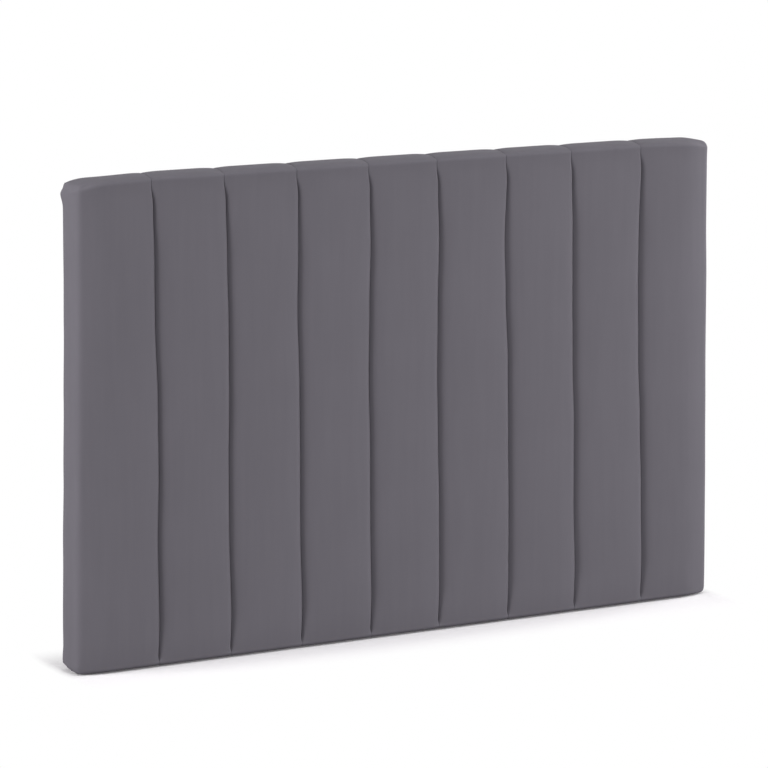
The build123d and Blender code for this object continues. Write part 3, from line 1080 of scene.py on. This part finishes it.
def dress(name, material):
    """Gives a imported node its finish."""
    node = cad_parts[name]
    node.data.materials.clear()
    node.data.materials.append(material)


class HEADBOARD_OT_metalwork(bpy.types.Operator):
    """Finish the hangers, screws and staples"""

    bl_idname = "headboard.metalwork"
    bl_label = "Metalwork"

    def execute(self, context):
        finishes = {
            "plate": zinc("Mild steel, pressed and zinc plated", "#C9CDD2", 3 * mm),
            "screws": zinc("Steel screws, zinc plated", "#C4C6C8", 1 * mm),
            "staples": zinc("Steel wire, galvanised", "#B9BBBD", 0.6 * mm),
        }
        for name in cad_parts:
            for kind, material in finishes.items():
                if kind in name:
                    dress(name, material)
        return {"FINISHED"}


# Studio

class StudioSettings(bpy.types.PropertyGroup):
    camera_place: FloatVectorProperty(
        name="Camera", description="Place of the camera", default=(-2.8304, -4.9985, 1.3601),
        subtype="TRANSLATION")
    camera_turn: angle("Turn", "How far the view turns to the right", 29.304)
    camera_tilt: angle("Tilt", "How far the view looks down", 9.797)
    camera_roll: angle("Roll", "How far the camera leans", -0.118)
    lens: amount("Lens", "Focal length in millimetres", 187.46)
    floor_colour: colour_setting(
        "Floor", "Colour of the floor to the light that it sends on", "#989698")
    floor_lift: amount("Floor lift", "How much brighter the floor is seen than it is lit", 0.06)
    shadow_start: length("Shadow fade start", "Distance from the board where its shadow fades", 20)
    shadow_end: length("Shadow fade end", "Distance where the floor is white", 125)
    end_fade: amount("Fade at ends", "How many times sooner it fades beside the ends", 5)
    left_strength: amount("Left lamp", "Power of the lamp on the left in watts", 87)
    right_strength: amount("Right lamp", "Power of the lamp on the right in watts", 103)
    front_strength: amount("Front lamp", "Power of the lamp in front in watts", 148)
    top_strength: amount("Top lamp", "Power of the lamp above in watts", 120)


def add_lamp(name, place, target, size, power):
    """Large soft lamp at a place, turned to a target."""
    data = bpy.data.lights.new(name, "AREA")
    data.shape = "RECTANGLE"
    data.size, data.size_y = size
    data.energy = power
    lamp = bpy.data.objects.new(name, data)
    bpy.context.scene.collection.objects.link(lamp)
    lamp.location = place
    lamp.rotation_euler = (target - Vector(place)).to_track_quat("-Z", "Y").to_euler()


def white_world():
    """Background that looks white and sends out no light."""
    world = bpy.data.worlds.new("Studio")
    bpy.context.scene.world = world
    world.use_nodes = True
    tree = world.node_tree
    tree.nodes.clear()
    white = add_node(tree, "ShaderNodeBackground", {"Color": (1, 1, 1, 1)},
                     {"Strength": seen_rays(tree)})
    add_node(tree, "ShaderNodeOutputWorld", links={"Surface": white.outputs[0]})


class HEADBOARD_OT_studio(bpy.types.Operator):
    """Make the floor, the light and the camera"""

    bl_idname = "headboard.studio"
    bl_label = "Studio"

    def execute(self, context):
        settings = context.scene.headboard_studio
        mesh = bmesh.new()
        bmesh.ops.create_grid(mesh, x_segments=4, y_segments=4, size=floor_half_size)
        bmesh.ops.translate(mesh, vec=(0, 0, body_low.z - floor_gap), verts=mesh.verts)
        data = bpy.data.meshes.new("studio_floor")
        mesh.to_mesh(data)
        mesh.free()
        data.materials.append(floor_material(settings))
        floor = bpy.data.objects.new("studio_floor", data)
        context.scene.collection.objects.link(floor)
        white_world()
        middle = (body_low + body_high) / 2
        for side, (place, size) in lamps.items():
            add_lamp(f"lamp_{side}", place, middle, size, getattr(settings, f"{side}_strength"))
        data = bpy.data.cameras.new("camera")
        data.lens = settings.lens
        camera = bpy.data.objects.new("camera", data)
        context.scene.collection.objects.link(camera)
        camera.location = settings.camera_place
        camera.rotation_euler = (
            Matrix.Rotation(-settings.camera_turn, 3, "Z")
            @ Matrix.Rotation(math.pi / 2 - settings.camera_tilt, 3, "X")
            @ Matrix.Rotation(settings.camera_roll, 3, "Z")).to_euler()
        context.scene.camera = camera
        context.scene.view_settings.view_transform = "Standard"
        return {"FINISHED"}


class HEADBOARD_PT_sidebar(bpy.types.Panel):
    """Sizes, colours and pieces of the headboard"""

    bl_label = "Headboard"
    bl_idname = "HEADBOARD_PT_sidebar"
    bl_space_type = "VIEW_3D"
    bl_region_type = "UI"
    bl_category = "Headboard"

    def draw(self, context):
        for owner in groups:
            group = getattr(context.scene, owner)
            box = self.layout.box()
            for name in group.bl_rna.properties.keys():
                if name not in ("rna_type", "name"):
                    box.prop(group, name)
        for operator in operators:
            self.layout.operator(operator.bl_idname)


groups = {"headboard_cover": CoverSettings, "headboard_cloth": ClothSettings,
          "headboard_pads": PadSettings, "headboard_studio": StudioSettings}
operators = (HEADBOARD_OT_channels, HEADBOARD_OT_wadding, HEADBOARD_OT_dust_cloth,
             HEADBOARD_OT_felt_pads, HEADBOARD_OT_timber, HEADBOARD_OT_metalwork,
             HEADBOARD_OT_studio)


def register():
    for owner in (*groups.values(), *operators, HEADBOARD_PT_sidebar):
        bpy.utils.register_class(owner)
    for name, group in groups.items():
        setattr(bpy.types.Scene, name, PointerProperty(type=group))


def unregister():
    for name in groups:
        delattr(bpy.types.Scene, name)
    for owner in (HEADBOARD_PT_sidebar, *operators, *groups.values()):
        bpy.utils.unregister_class(owner)


def main():
    """Makes every piece and the studio."""
    register()
    for operator in operators:
        getattr(bpy.ops.headboard, operator.bl_idname.split(".")[1])()


if __name__ == "__main__":
    main()
